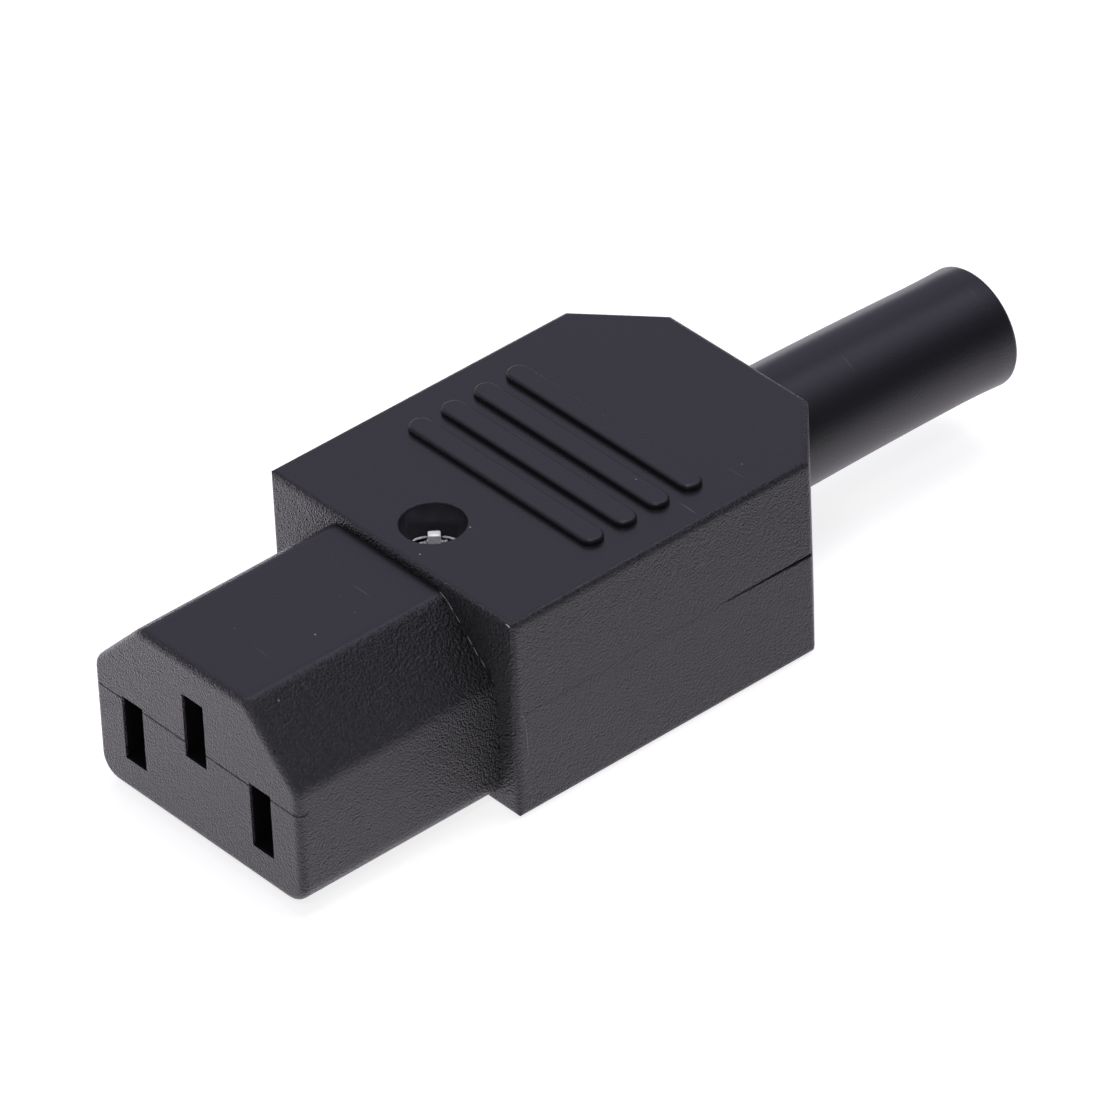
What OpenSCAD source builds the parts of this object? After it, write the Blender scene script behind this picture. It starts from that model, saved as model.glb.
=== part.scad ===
// Rewirable C13 connector: two moulded half shells held by one screw, three folded
// receptacle contacts with screw terminals, a cord clamp and a moulded cable boot.
// X runs across the connector, +Y points out of the boot, +Z is up. The origin lies
// under the middle of the connector, on the plane of its flat underside.

/* [Body] */
// Width of the body
body_w = 26.3; // [25.8:0.1:32]
// Length of the body, from the shoulder behind the nose to the rear face
body_l = 33.4; // [33:0.1:42]
// Height of the body
body_h = 17; // [16.8:0.1:20]
// Width that each rear corner chamfer takes off the rear face
corner_x = 5.8; // [3:0.1:6.2]
// Length that each rear corner chamfer takes off the side
corner_y = 5.2; // [3:0.1:6]
// Rounding of the body's edges
edge_r = 0.6; // [0.4:0.1:1]
// Thickness of the side walls
wall = 1.8; // [1.5:0.1:2.2]
// Thickness of the roof of the upper shell
roof_t = 1.8; // [1.5:0.1:2.1]
// Thickness of the floor of the lower shell
floor_t = 1.8; // [1.4:0.1:2]
// Thickness of the wall between the nose and the wiring space
front_wall = 1.8; // [1.4:0.1:2.4]
// Thickness of the rear wall, which sits in the groove of the boot
rear_wall = 2; // [1.6:0.1:2.6]

/* [Nose] */
// Width of the nose
nose_w = 22.4; // [21.6:0.1:23]
// Length of the nose in front of the shoulder
nose_l = 18.25; // [17.5:0.05:20]
// Height of the nose
nose_h = 15.35; // [14.6:0.05:15.5]
// Height of the underside of the nose above the underside of the body
nose_lift = 0.8; // [0.4:0.1:1]
// Size of the two chamfers along the top of the nose
nose_chamfer = 5.3; // [4.5:0.1:5.6]
// Rounding of the chamfers
nose_round = 1.5; // [0.6:0.1:2]
// Rounding of the two lower edges of the nose
nose_foot_r = 1.8; // [1:0.1:3]
// Rounding of the edges round the front of the nose
nose_edge_r = 0.5; // [0.2:0.1:0.8]
// Thickness of the face that the pins pass through
nose_face = 2; // [1.5:0.1:3]

/* [Pin openings] */
// Distance between the line and neutral pins
pin_pitch = 14; // [13.8:0.1:14.2]
// Height of the line and neutral pins above the underside
pin_z = 6.4; // [6.2:0.1:6.7]
// Height of the earth pin above the other two
earth_rise = 4; // [3.8:0.1:4.1]
// Width of a pin slot
slot_w = 2.3; // [2.2:0.1:3]
// Height of a pin slot
slot_h = 5.5; // [4.6:0.1:5.6]
// Width of the pocket behind a slot
pocket_w = 4.8; // [4.6:0.1:5.2]
// Height of the pocket behind a slot
pocket_h = 6.2; // [6:0.1:6.4]

/* [Parting] */
// Height of the joint between the two shells above the middle of the body
parting_rise = 0.4; // [0:0.1:0.6]
// Thickness of the lip that keys the shells together
lip_t = 0.9; // [0.6:0.1:1.1]
// Height of the lip
lip_h = 0.8; // [0.5:0.1:1.5]
// Clearance round the lip
lip_gap = 0.1; // [0.05:0.05:0.2]

/* [Grip ribs] */
// Number of raised ribs on the roof
rib_count = 4; // [2:1:5]
// Length of a rib
rib_l = 20.2; // [12:0.1:22]
// Width of a rib
rib_w = 1.9; // [1.2:0.1:2.4]
// Height of a rib above the roof
rib_h = 0.5; // [0.3:0.1:0.9]
// Distance from one rib to the next
rib_pitch = 3.1; // [2.8:0.1:4]
// Distance of the first rib behind the shoulder
rib_first = 11; // [9.5:0.1:12]

/* [Assembly screw] */
// Distance of the screw behind the shoulder
screw_back = 4.2; // [4:0.1:4.6]
// Radius of the screw's shank
screw_r = 1.5; // [1.25:0.05:1.6]
// Radius of the screw's head
screw_head_r = 2.35; // [2:0.05:2.6]
// Height of the screw's head
screw_head_h = 1.9; // [1.4:0.1:2.4]
// Depth of the top of the head below the roof
screw_sunk = 3.1; // [1.5:0.1:3.4]
// Clearance between the head and its well
well_gap = 0.1; // [0.05:0.05:0.3]
// Radius of the two bosses that the screw pulls together
screw_boss_r = 3.4; // [3.2:0.1:3.6]
// Radius of the brass insert in the lower boss
insert_r = 2.2; // [2:0.1:2.6]
// Length of the brass insert
insert_l = 4.8; // [3:0.1:5.2]

/* [Contacts] */
// Thickness of the strip that the contacts are folded from
strip_t = 0.5; // [0.4:0.05:0.6]
// Thickness of the pin that a contact grips
pin_t = 2; // [1.8:0.1:2.2]
// Height of the two spring leaves
leaf_h = 5.8; // [5:0.1:5.9]
// Length of the spring leaves
leaf_l = 13; // [11:0.1:13.5]
// Distance between the middles of the leaves at their root
leaf_gap = 3.1; // [2.9:0.1:3.4]
// Height of the earth strip where it stands on edge beside the screw boss
edge_strip_h = 2; // [1.6:0.1:2.2]

/* [Terminals] */
// Distance of the terminal screws behind the shoulder
terminal_back = 12.7; // [12.6:0.1:14]
// Height of the top of the terminal blocks above the underside
terminal_z = 5.2; // [5:0.1:5.6]
// Width and length of the terminal plates
plate_w = 5.2; // [4.8:0.1:5.4]
// Radius of the terminal and clamp screws' shanks
small_screw_r = 1.5; // [1.25:0.05:1.5]
// Radius of the heads of the terminal and clamp screws
small_head_r = 2.5; // [2.2:0.1:2.6]
// Height of those heads
small_head_h = 1.6; // [1.2:0.1:2]
// Width of the square terminal nuts
nut_w = 5; // [4.5:0.1:5.2]
// Thickness of the terminal nuts
nut_t = 2.2; // [1.6:0.1:2.4]
// Thickness of the square wire washers
washer_t = 0.6; // [0.4:0.1:1]
// Thickness of the barriers between the terminals
barrier_t = 1.2; // [0.8:0.1:1.4]
// Height of the barriers above the terminal blocks
barrier_h = 6; // [3:0.1:7]

/* [Cord clamp] */
// Distance of the clamp in front of the rear face
clamp_ahead = 9.2; // [8.8:0.1:9.6]
// Diameter of the cord that the clamp grips
cord_d = 7; // [5:0.1:7.2]
// Thickness of the ends of the clamp bar
bar_t = 1.8; // [1.4:0.1:2.2]
// Thickness of the arch of the clamp bar
arch_t = 1.5; // [1.2:0.1:1.6]
// Width of the clamp bar along the cord
bar_w = 5; // [4:0.1:5.4]
// Radius of the clamp's screw bosses
clamp_boss_r = 2.5; // [2.2:0.1:2.6]

/* [Boot] */
// Length of the boot behind the body
boot_l = 23; // [18:0.1:40]
// Outer radius of the boot at the body
boot_r = 5; // [4.8:0.05:5.4]
// Outer radius of the boot just before its end bead
boot_tip_r = 4.7; // [4.5:0.05:5.2]
// Outer radius of the end bead
bead_r = 4.85; // [4.8:0.05:5.6]
// Length of the end bead
bead_l = 1.4; // [0.8:0.1:3]
// Clearance between the cord and the boot's bore, on the radius
cord_gap = 0.1; // [0.05:0.05:0.2]
// Clearance between the flange inside the body and the roof
flange_gap = 0.3; // [0.1:0.1:0.7]
// Thickness of the flange
flange_t = 1.8; // [1.2:0.1:2.2]
// Depth of the groove that the rear wall sits in
groove_d = 0.55; // [0.3:0.05:0.7]
// Thickness of the rib that keeps the flange against the rear wall
stop_t = 1.2; // [0.8:0.1:1.4]

/* [Hidden] */
$fn = 64;
arc_steps = 6;          // straight pieces in each rounded corner of an outline
seat_gap = 0.05;        // clearance between pieces that are dropped into place
thread_gap = 0.02;      // clearance that stands for a fine thread
through = 0.5;          // how far a cut runs past the face that it opens
margin = 0.3;           // space round the folded strips inside their pockets and channel
block_rim = 0.7;        // plastic left round the nut pockets
cradle_t = 1.2;         // thickness of the two ribs that carry the cord

total_l = nose_l + body_l + boot_l;
nose_y = -total_l / 2;
shoulder_y = nose_y + nose_l;
rear_y = shoulder_y + body_l;
cavity_front_y = shoulder_y + front_wall;
cavity_rear_y = rear_y - rear_wall;
ceiling_z = body_h - roof_t;
parting_z = body_h / 2 + parting_rise;
axis_z = parting_z;     // height of the cord, the boot and the clamp's arch

line_x = pin_pitch / 2;
earth_z = pin_z + earth_rise;
screw_y = shoulder_y + screw_back;
head_top_z = body_h - screw_sunk;
head_seat_z = head_top_z - screw_head_h;
insert_top_z = parting_z - seat_gap;

pocket_front_y = nose_y + nose_face;
leaf_front_y = pocket_front_y + margin;
leaf_rear_y = leaf_front_y + leaf_l;
leaf_pinch = pin_t / 2 - 0.1 + strip_t / 2;
leaf_mouth = (pocket_w - strip_t) / 2 - margin;
edge_strip_top = earth_z + leaf_h / 2 - 0.2;
edge_strip_x = screw_boss_r + 0.6 + strip_t / 2;

terminal_y = shoulder_y + terminal_back;
terminal_xs = [-line_x, 0, line_x];
block_l = nut_w + 2 * block_rim;
plate_top_z = terminal_z + strip_t;
barrier_x = line_x / 2;

clamp_y = rear_y - clamp_ahead;
clamp_x = (cord_d / 2 + arch_t + body_w / 2 - wall) / 2;    // midway between the arch and the side wall
bore_r = cord_d / 2 + cord_gap;
flange_front_y = cavity_rear_y - flange_t;
stop_y = flange_front_y - seat_gap - stop_t;
groove_r = boot_r - groove_d;
flange_r = ceiling_z - axis_z - flange_gap;

// Outline helpers

function unit(v) = v / norm(v);

// Replaces the corner q between p and s by an arc of radius r
function corner(p, q, s, r) =
    r <= 0 ? [q] :
    let (u = unit(p - q),
         v = unit(s - q),
         half = acos(u * v) / 2,
         centre = q + unit(u + v) * r / sin(half),
         a = q + u * r / tan(half) - centre,
         b = q + v * r / tan(half) - centre,
         start = atan2(a[1], a[0]),
         turn = atan2(a[0] * b[1] - a[1] * b[0], a * b))
    [for (i = [0:arc_steps])
        centre + r * [cos(start + turn * i / arc_steps), sin(start + turn * i / arc_steps)]];

function rounded(points, radii) =
    let (n = len(points))
    [for (i = [0:n - 1])
        each corner(points[(i + n - 1) % n], points[i], points[(i + 1) % n],
                    is_list(radii) ? radii[i] : radii)];

function side_of(d) = [-d[1], d[0]];

// One edge of a strip that follows a path, at a distance from its middle
function strip_edge(path, reach) =
    let (last = len(path) - 1)
    [for (i = [0:last])
        let (before = side_of(unit(path[max(i, 1)] - path[max(i, 1) - 1])),
             after = side_of(unit(path[min(i, last - 1) + 1] - path[min(i, last - 1)])),
             middle = unit(before + after))
        path[i] + middle * reach / (middle * before)];

function strip(path, thickness) =
    let (outer = strip_edge(path, thickness / 2),
         inner = strip_edge(path, -thickness / 2))
    concat(outer, [for (i = [len(inner) - 1:-1:0]) inner[i]]);

// Plan of the body, drawn in by a distance at its sides, its front and its rear.
// The rear corner chamfers move in by the same distance as the sides.
function body_plan(sides, front, rear) =
    let (lean = norm([corner_x, corner_y]),
         n = [corner_y, corner_x] / lean,
         reach = n * [body_w / 2, rear_y - corner_y] - sides,
         x = body_w / 2 - sides,
         y = rear_y - rear,
         chamfer_y = (reach - n[0] * x) / n[1],
         chamfer_x = (reach - n[1] * y) / n[0])
    [[-x, shoulder_y + front], [x, shoulder_y + front], [x, chamfer_y], [chamfer_x, y],
     [-chamfer_x, y], [-x, chamfer_y]];

function box_outline(low, high) = [low, [high[0], low[1]], high, [low[0], high[1]]];

module along_x(from, to) translate([from, 0, 0]) rotate([90, 0, 90]) linear_extrude(to - from) children();
module along_y(from, to) translate([0, to, 0]) rotate([90, 0, 0]) linear_extrude(to - from) children();
module along_z(from, to) translate([0, 0, from]) linear_extrude(to - from) children();
module block(low, high) translate(low) cube(high - low);
module post(x, y, r, from, to) translate([x, y, from]) cylinder(r = r, h = to - from);
module both_sides() {
    children();
    mirror([1, 0, 0]) children();
}

// Outer form of the housing

// Everything inside one rear corner chamfer, with its upper and lower edges rounded
module inside_chamfer() {
    lean = norm([corner_x, corner_y]);
    reach = (corner_y * body_w / 2 + corner_x * (rear_y - corner_y)) / lean;
    rotate([0, 0, atan2(corner_x, corner_y)])
        along_y(-total_l, total_l)
            polygon(rounded(box_outline([-total_l, 0], [reach, body_h]), [0, edge_r, edge_r, 0]));
}

module body_form() {
    intersection() {
        along_z(0, body_h) polygon(rounded(body_plan(0, 0, 0), edge_r));
        along_y(shoulder_y, rear_y)
            polygon(rounded(box_outline([-body_w / 2, 0], [body_w / 2, body_h]), edge_r));
        along_x(-body_w / 2, body_w / 2)
            polygon(rounded(box_outline([shoulder_y, 0], [rear_y, body_h]), edge_r));
        inside_chamfer();
        mirror([1, 0, 0]) inside_chamfer();
    }
}

// Everything in front of the wiring space and inside one upper chamfer of the nose
module inside_nose_chamfer() {
    reach = (nose_w / 2 + nose_lift + nose_h - nose_chamfer) / sqrt(2);
    rotate([0, -45, 0])
        along_z(-total_l, total_l)
            polygon(rounded(box_outline([-total_l, nose_y], [reach, cavity_front_y]),
                            [0, nose_edge_r, 0, 0]));
}

module nose_form() {
    x = nose_w / 2;
    top = nose_lift + nose_h;
    intersection() {
        along_y(nose_y, cavity_front_y)
            polygon(rounded(
                [[-x, nose_lift], [x, nose_lift], [x, top - nose_chamfer], [x - nose_chamfer, top],
                 [nose_chamfer - x, top], [-x, top - nose_chamfer]],
                [nose_foot_r, nose_foot_r, nose_round, nose_round, nose_round, nose_round]));
        along_x(-x, x)
            polygon(rounded(box_outline([nose_y, nose_lift], [cavity_front_y, top]),
                            [nose_edge_r, 0, 0, nose_edge_r]));
        along_z(nose_lift, top)
            polygon(rounded(box_outline([-x, nose_y], [x, cavity_front_y]),
                            [nose_edge_r, nose_edge_r, 0, 0]));
        inside_nose_chamfer();
        mirror([1, 0, 0]) inside_nose_chamfer();
    }
}

module housing_form() {
    body_form();
    nose_form();
}

module half_space(from, to) {
    block([-body_w, -total_l, from], [body_w, total_l, to]);
}

// Hollows that both shells share

module wiring_space() {
    along_z(floor_t, ceiling_z) polygon(body_plan(wall, front_wall, rear_wall));
}

module pin_opening(x, z) {
    block([x - slot_w / 2, nose_y - through, z - slot_h / 2],
          [x + slot_w / 2, pocket_front_y + through, z + slot_h / 2]);
    block([x - pocket_w / 2, pocket_front_y, z - pocket_h / 2],
          [x + pocket_w / 2, cavity_front_y + through, z + pocket_h / 2]);
}

// Way round the screw boss for the edgewise part of the earth contact
module earth_channel() {
    block([0, leaf_rear_y + 0.4, edge_strip_top - edge_strip_h - margin],
          [edge_strip_x + strip_t / 2 + margin, cavity_front_y + through, edge_strip_top + margin]);
}

module pin_openings() {
    for (x = [-line_x, line_x]) pin_opening(x, pin_z);
    pin_opening(0, earth_z);
    earth_channel();
}

module neck_opening() {
    translate([0, cavity_rear_y - through, axis_z]) rotate([-90, 0, 0])
        cylinder(r = groove_r + seat_gap, h = rear_wall + 2 * through);
}

// Rib across the wiring space that keeps the boot's flange against the rear wall
module boot_stop() {
    difference() {
        intersection() {
            along_z(floor_t, ceiling_z) polygon(body_plan(wall, front_wall, rear_wall));
            block([-body_w, stop_y, 0], [body_w, stop_y + stop_t, body_h]);
        }
        translate([0, stop_y - through, axis_z]) rotate([-90, 0, 0])
            cylinder(r = bore_r + 0.4, h = stop_t + 2 * through);
    }
}

// Ring in the thickness of the wall, open at the front
module lip_ring(gap, height) {
    along_z(parting_z - gap, parting_z + height) difference() {
        polygon(body_plan(wall - lip_t - gap, front_wall - gap, rear_wall - lip_t - gap));
        polygon(body_plan(wall + gap, front_wall - through, rear_wall + gap));
    }
}

// Shells

module grip_rib(y) {
    r = rib_w / 2;
    end = rib_l / 2 - r;
    translate([0, y, body_h - through]) linear_extrude(rib_h + through) {
        square([2 * end, rib_w], center = true);
        for (side = [-1, 1]) translate([side * end, 0]) circle(r);
    }
}

module upper_shell() {
    color([0.07, 0.07, 0.08]) difference() {
        union() {
            difference() {
                intersection() {
                    housing_form();
                    half_space(parting_z, body_h);
                }
                wiring_space();
            }
            for (i = [0:rib_count - 1]) grip_rib(shoulder_y + rib_first + i * rib_pitch);
            post(0, screw_y, screw_boss_r, parting_z, ceiling_z + through);
            intersection() {
                boot_stop();
                half_space(parting_z, body_h);
            }
        }
        pin_openings();
        neck_opening();
        lip_ring(lip_gap, lip_h + lip_gap);
        post(0, screw_y, screw_head_r + well_gap, head_seat_z, body_h + through);
        post(0, screw_y, screw_r + well_gap, parting_z - through, head_seat_z + through);
    }
}

// Block under the three terminals, with a pocket for each nut and barriers between them
module terminal_blocks() {
    low_y = terminal_y - block_l / 2;
    high_y = terminal_y + block_l / 2;
    pocket = nut_w / 2 + seat_gap;
    difference() {
        union() {
            block([-line_x - nut_w / 2 - block_rim, low_y, floor_t - through],
                  [line_x + nut_w / 2 + block_rim, high_y, terminal_z]);
            both_sides() block([barrier_x - barrier_t / 2, low_y, floor_t],
                               [barrier_x + barrier_t / 2, high_y, terminal_z + barrier_h]);
        }
        for (x = terminal_xs)
            block([x - pocket, terminal_y - pocket, terminal_z - nut_t - 0.2],
                  [x + pocket, terminal_y + pocket, terminal_z + 0.01]);
    }
}

// Two ribs that carry the cord under the clamp bar
module cord_cradle() {
    for (y = [clamp_y - bar_w / 2, clamp_y + bar_w / 2 - cradle_t])
        along_y(y, y + cradle_t) difference() {
            polygon(box_outline([-clamp_x, floor_t - through], [clamp_x, parting_z]));
            translate([0, axis_z]) circle(cord_d / 2);
        }
}

module lower_shell() {
    insert_depth = insert_l + 2 * seat_gap;
    color([0.08, 0.08, 0.085]) difference() {
        union() {
            difference() {
                intersection() {
                    housing_form();
                    half_space(0, parting_z);
                }
                wiring_space();
            }
            lip_ring(0, lip_h);
            post(0, screw_y, screw_boss_r, floor_t - through, parting_z);
            both_sides() post(clamp_x, clamp_y, clamp_boss_r, floor_t - through, parting_z);
            terminal_blocks();
            cord_cradle();
            intersection() {
                boot_stop();
                half_space(0, parting_z);
            }
        }
        pin_openings();
        neck_opening();
        post(0, screw_y, insert_r + thread_gap, parting_z - insert_depth, parting_z + through);
        both_sides() post(clamp_x, clamp_y, small_screw_r + thread_gap,
                          floor_t + 0.4, parting_z + through);
    }
}

// Boot: a turned form, moulded in one piece with its flange

module cable_boot() {
    tip_y = boot_l - bead_l;
    soft = 0.35;
    color([0.06, 0.06, 0.065])
        translate([0, rear_y, axis_z]) rotate([-90, 0, 0])
            rotate_extrude($fn = 96) polygon(concat(
                [[bore_r, -rear_wall - flange_t], [flange_r, -rear_wall - flange_t],
                 [flange_r, -rear_wall], [groove_r, -rear_wall], [groove_r, 0], [boot_r, 0]],
                [[boot_tip_r, tip_y]],
                [for (a = [-60:30:60]) [bead_r - soft + soft * cos(a), tip_y + bead_l / 2 + (bead_l / 2 - 0.1) * sin(a)]],
                [[boot_tip_r, boot_l], [bore_r, boot_l]]));
}

// Fasteners

module cross_recess(r, depth, top_z) {
    slot = r * 0.3;
    for (turn = [0, 90]) rotate([0, 0, turn])
        block([-r * 0.6, -slot / 2, top_z - depth], [r * 0.6, slot / 2, top_z + through]);
}

module assembly_screw() {
    tip_z = parting_z - insert_l + 0.4;
    color([0.78, 0.78, 0.76]) translate([0, screw_y, 0]) difference() {
        union() {
            post(0, 0, screw_head_r, head_seat_z, head_top_z);
            post(0, 0, screw_r, tip_z, head_seat_z + 0.1);
        }
        cross_recess(screw_head_r, screw_head_h * 0.6, head_top_z);
    }
}

module assembly_insert() {
    color([0.72, 0.58, 0.32]) translate([0, screw_y, 0]) difference() {
        post(0, 0, insert_r, insert_top_z - insert_l, insert_top_z);
        post(0, 0, screw_r + thread_gap, insert_top_z - insert_l - through, insert_top_z + through);
    }
}

module small_screw(x, y, seat_z, tip_z) {
    slot_t = 0.7;
    color([0.76, 0.75, 0.72]) translate([x, y, 0]) difference() {
        union() {
            post(0, 0, small_head_r, seat_z, seat_z + small_head_h);
            post(0, 0, small_screw_r, tip_z, seat_z + 0.1);
        }
        block([-small_head_r - through, -slot_t / 2, seat_z + small_head_h * 0.45],
              [small_head_r + through, slot_t / 2, seat_z + small_head_h + through]);
    }
}

// Contacts

// Plan of one spring leaf: flared at the mouth, pinched behind it, parallel at the root
function leaf_path(to_y) = [
    [leaf_mouth, leaf_front_y],
    [leaf_pinch, leaf_front_y + leaf_l * 0.2],
    [leaf_gap / 2, leaf_front_y + leaf_l * 0.5],
    [leaf_gap / 2, to_y]
];

module receptacle(x, z) {
    low_z = z - leaf_h / 2;
    width = leaf_gap + strip_t;
    translate([x, 0, 0]) {
        both_sides() along_z(low_z, low_z + leaf_h) polygon(strip(leaf_path(leaf_rear_y), strip_t));
        block([-width / 2, leaf_front_y + leaf_l * 0.5, low_z], [width / 2, leaf_rear_y, low_z + strip_t]);
    }
}

module terminal_plate(x, from_y) {
    difference() {
        block([x - plate_w / 2, from_y, terminal_z], [x + plate_w / 2, terminal_y + plate_w / 2, plate_top_z]);
        post(x, terminal_y, small_screw_r + seat_gap, terminal_z - through, plate_top_z + through);
    }
}

// Line and neutral: the web runs back, steps up over the edge of the block and becomes the plate
module side_contact(x) {
    web_z = pin_z - leaf_h / 2 + strip_t / 2;
    plate_z = terminal_z + strip_t / 2;
    step_y = cavity_front_y + 0.5;
    tail_w = leaf_gap + strip_t;
    color([0.80, 0.66, 0.36]) {
        receptacle(x, pin_z);
        along_x(x - tail_w / 2, x + tail_w / 2)
            polygon(strip([[leaf_rear_y - 1, web_z], [step_y, web_z],
                           [step_y + 2.5, plate_z], [terminal_y - plate_w / 2 + 0.5, plate_z]], strip_t));
        terminal_plate(x, terminal_y - plate_w / 2);
    }
}

// Earth: one leaf runs on edge round the screw boss to an upright, which is folded into the plate
module earth_contact() {
    upright_y = screw_y + screw_boss_r + 0.5 + strip_t / 2;
    color([0.80, 0.66, 0.36]) {
        receptacle(0, earth_z);
        along_z(edge_strip_top - edge_strip_h, edge_strip_top)
            polygon(strip([[leaf_gap / 2, leaf_rear_y - 1], [leaf_gap / 2, leaf_rear_y + 0.8],
                           [edge_strip_x, shoulder_y + 0.6], [edge_strip_x, upright_y],
                           [-plate_w / 2, upright_y]], strip_t));
        block([-plate_w / 2, upright_y - strip_t / 2, terminal_z],
              [plate_w / 2, upright_y + strip_t / 2, edge_strip_top]);
        terminal_plate(0, upright_y - strip_t / 2);
    }
}

module line_contact() side_contact(-line_x);
module neutral_contact() side_contact(line_x);

module terminal_nut(x) {
    color([0.74, 0.60, 0.34]) difference() {
        block([x - nut_w / 2, terminal_y - nut_w / 2, terminal_z - nut_t],
              [x + nut_w / 2, terminal_y + nut_w / 2, terminal_z]);
        post(x, terminal_y, small_screw_r + thread_gap, terminal_z - nut_t - through, terminal_z + through);
    }
}

module wire_washer(x) {
    half = plate_w / 2 - 0.1;
    color([0.78, 0.78, 0.76]) difference() {
        translate([x, terminal_y, 0]) along_z(plate_top_z, plate_top_z + washer_t)
            polygon(rounded(box_outline([-half, -half], [half, half]), 0.6));
        post(x, terminal_y, small_screw_r + seat_gap, plate_top_z - through, plate_top_z + washer_t + through);
    }
}

module terminal_screw(x) small_screw(x, terminal_y, plate_top_z + washer_t, terminal_z - nut_t);

module line_terminal_nut() terminal_nut(-line_x);
module neutral_terminal_nut() terminal_nut(line_x);
module earth_terminal_nut() terminal_nut(0);
module line_wire_washer() wire_washer(-line_x);
module neutral_wire_washer() wire_washer(line_x);
module earth_wire_washer() wire_washer(0);
module line_terminal_screw() terminal_screw(-line_x);
module neutral_terminal_screw() terminal_screw(line_x);
module earth_terminal_screw() terminal_screw(0);

// Cord clamp

module cord_clamp_bar() {
    reach = clamp_x + clamp_boss_r;
    color([0.13, 0.13, 0.13]) translate([0, clamp_y, 0]) difference() {
        along_y(-bar_w / 2, bar_w / 2) difference() {
            union() {
                polygon(box_outline([-reach, parting_z], [reach, parting_z + bar_t]));
                translate([0, axis_z]) intersection() {
                    circle(cord_d / 2 + arch_t);
                    translate([-cord_d, 0]) square([2 * cord_d, cord_d]);
                }
            }
            translate([0, axis_z]) circle(cord_d / 2);
        }
        both_sides() post(clamp_x, 0, small_screw_r + well_gap,
                          parting_z - through, parting_z + bar_t + through);
    }
}

module clamp_screw(x) small_screw(x, clamp_y, parting_z + bar_t, floor_t + 0.8);
module left_clamp_screw() clamp_screw(-clamp_x);
module right_clamp_screw() clamp_screw(clamp_x);

upper_shell();
lower_shell();
cable_boot();
assembly_screw();
assembly_insert();
line_contact();
neutral_contact();
earth_contact();
line_terminal_nut();
neutral_terminal_nut();
earth_terminal_nut();
line_wire_washer();
neutral_wire_washer();
earth_wire_washer();
line_terminal_screw();
neutral_terminal_screw();
earth_terminal_screw();
cord_clamp_bar();
left_clamp_screw();
right_clamp_screw();
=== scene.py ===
"""Rewirable C13 connector: black two-part housing, sunk housing screw and cable boot, in metres."""
import random
from math import cos, radians, sin

import bmesh
import bpy
from mathutils import Matrix, Vector


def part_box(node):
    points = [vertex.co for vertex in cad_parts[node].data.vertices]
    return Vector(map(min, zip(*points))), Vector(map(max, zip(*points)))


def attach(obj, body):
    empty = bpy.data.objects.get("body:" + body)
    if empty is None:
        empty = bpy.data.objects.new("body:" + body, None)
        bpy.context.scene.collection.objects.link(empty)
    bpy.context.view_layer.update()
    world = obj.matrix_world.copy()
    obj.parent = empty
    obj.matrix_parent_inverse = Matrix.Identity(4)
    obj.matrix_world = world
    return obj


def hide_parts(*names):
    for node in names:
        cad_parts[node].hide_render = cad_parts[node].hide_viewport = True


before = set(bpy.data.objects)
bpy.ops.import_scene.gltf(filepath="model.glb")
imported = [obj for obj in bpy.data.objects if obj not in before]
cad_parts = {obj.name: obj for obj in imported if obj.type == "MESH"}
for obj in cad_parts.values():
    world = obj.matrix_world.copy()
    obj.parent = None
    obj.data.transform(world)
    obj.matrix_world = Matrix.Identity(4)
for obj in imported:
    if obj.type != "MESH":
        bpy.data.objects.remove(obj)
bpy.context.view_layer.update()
scene = bpy.context.scene
MM = 0.001

# ---------------------------------------------------------------------------
# Camera: a long lens from the front right, looking down at the nose.
# It is turned a little about its own axis, as a hand-levelled stand leaves it.
# ---------------------------------------------------------------------------
view_side = radians(50.36)      # round the connector from straight in front of the nose
view_height = radians(36.35)
view_tilt = radians(2.74)
view_distance = 748.4 * MM
aim = Vector((0.25, -4.47, 9.40)) * MM

lens = bpy.data.cameras.new("studio_camera")
lens.lens = 342.2
lens.sensor_width = 36.0
lens.clip_start, lens.clip_end = 0.05, 20.0
camera = bpy.data.objects.new("studio_camera", lens)
scene.collection.objects.link(camera)
turn = (Matrix.Rotation(view_side, 4, "Z") @ Matrix.Rotation(radians(90) - view_height, 4, "X")
        @ Matrix.Rotation(-view_tilt, 4, "Z"))
camera.matrix_world = Matrix.Translation(aim) @ turn @ Matrix.Translation((0, 0, view_distance))
scene.camera = camera

# ---------------------------------------------------------------------------
# Stage: a seamless white table under a large soft tent.
# The table keeps a faint contact shadow and is seen white in reflections.
# ---------------------------------------------------------------------------
scene.view_settings.view_transform = "Standard"
table_radius = 3.0
table_drop = 0.02 * MM              # just under the connector, so that the two never share a face
table_grey = (0.38, 0.38, 0.38, 1)  # the matt share, which shows the contact shadow
table_glow = 0.80                   # added where the camera sees the table
table_gleam = (1.0, 0.94, 1.03, 1)  # its colour in reflections
tent_colour = (0.80, 0.77, 1.0, 1)


def deselect_all():
    for piece in bpy.context.selected_objects:
        piece.select_set(False)


def add_node(tree, kind, inputs=(), **settings):
    """A shader node, with each input set to a value or linked to another node's output."""
    node = tree.nodes.new(kind)
    for name, value in settings.items():
        setattr(node, name, value)
    for socket, value in dict(inputs).items():
        if isinstance(value, bpy.types.NodeSocket):
            tree.links.new(value, node.inputs[socket])
        else:
            node.inputs[socket].default_value = value
    return node


def sum_of(tree, operation, *values):
    """One step of arithmetic on numbers or outputs."""
    return add_node(tree, "ShaderNodeMath", enumerate(values), operation=operation).outputs[0]


def vector_sum(tree, operation, *values):
    """One step of vector arithmetic; its outputs are "Vector" and "Value"."""
    return add_node(tree, "ShaderNodeVectorMath", enumerate(values), operation=operation).outputs


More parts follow.
